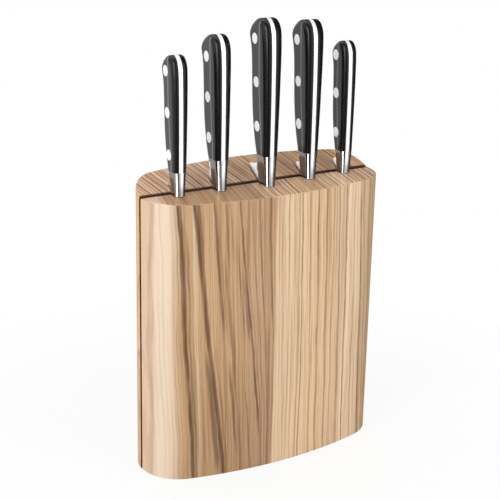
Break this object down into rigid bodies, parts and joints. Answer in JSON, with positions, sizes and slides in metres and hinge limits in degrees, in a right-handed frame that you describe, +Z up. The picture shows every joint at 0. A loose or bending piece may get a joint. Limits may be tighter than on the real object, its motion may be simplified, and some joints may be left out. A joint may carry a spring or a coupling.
{
  "type": "knife block with knives",
  "caption": "Upright oval wooden block in two halves with a narrow gap, holding forged kitchen knives with riveted handles, which lift straight out of their slots.",
  "frame": {"origin": "on the floor, under the middle of the block", "axes": "+Z up, -Y to the front half, +X to the right when the front is looked at"},
  "size_m": [0.215, 0.0754, 0.3614],
  "materials": {
    "ash": "oiled ash with brown heartwood streaks",
    "beech": "plain turned dowel",
    "dark_spacer": "dark stained strip",
    "blade_steel": "polished bolster and tang, fine ground blade",
    "handle_black": "satin black moulded scale",
    "rivet_steel": "polished flush rivet"
  },
  "bodies": {
    "block": {"front_stave_left": "ash", "front_stave_middle": "ash", "front_stave_right": "ash", "rear_stave_1": "ash", "rear_stave_2": "ash", "rear_stave_3": "ash", "rear_stave_4": "ash", "rear_stave_5": "ash", "rear_stave_6": "ash", "joining_dowels": "beech", "gap_spacer": "dark_spacer"},
    "utility_knife": {"utility_blade": "blade_steel", "utility_scale_left": "handle_black", "utility_scale_right": "handle_black", "utility_rivets": "rivet_steel"},
    "boning_knife": {"boning_blade": "blade_steel", "boning_scale_left": "handle_black", "boning_scale_right": "handle_black", "boning_rivets": "rivet_steel"},
    "chef_knife": {"chef_blade": "blade_steel", "chef_scale_left": "handle_black", "chef_scale_right": "handle_black", "chef_rivets": "rivet_steel"},
    "carving_knife": {"carving_blade": "blade_steel", "carving_scale_left": "handle_black", "carving_scale_right": "handle_black", "carving_rivets": "rivet_steel"},
    "paring_knife": {"paring_blade": "blade_steel", "paring_scale_left": "handle_black", "paring_scale_right": "handle_black", "paring_rivets": "rivet_steel"}
  },
  "joints": [
    {"name": "utility_lift", "type": "slide", "parent": "block", "child": "utility_knife", "axis": [0, 0, 1], "range_m": [0, 0.155]},
    {"name": "boning_lift", "type": "slide", "parent": "block", "child": "boning_knife", "axis": [0, 0, 1], "range_m": [0, 0.175]},
    {"name": "chef_lift", "type": "slide", "parent": "block", "child": "chef_knife", "axis": [0, 0, 1], "range_m": [0, 0.225]},
    {"name": "carving_lift", "type": "slide", "parent": "block", "child": "carving_knife", "axis": [0, 0, 1], "range_m": [0, 0.225]},
    {"name": "paring_lift", "type": "slide", "parent": "block", "child": "paring_knife", "axis": [0, 0, 1], "range_m": [0, 0.125]}
  ]
}
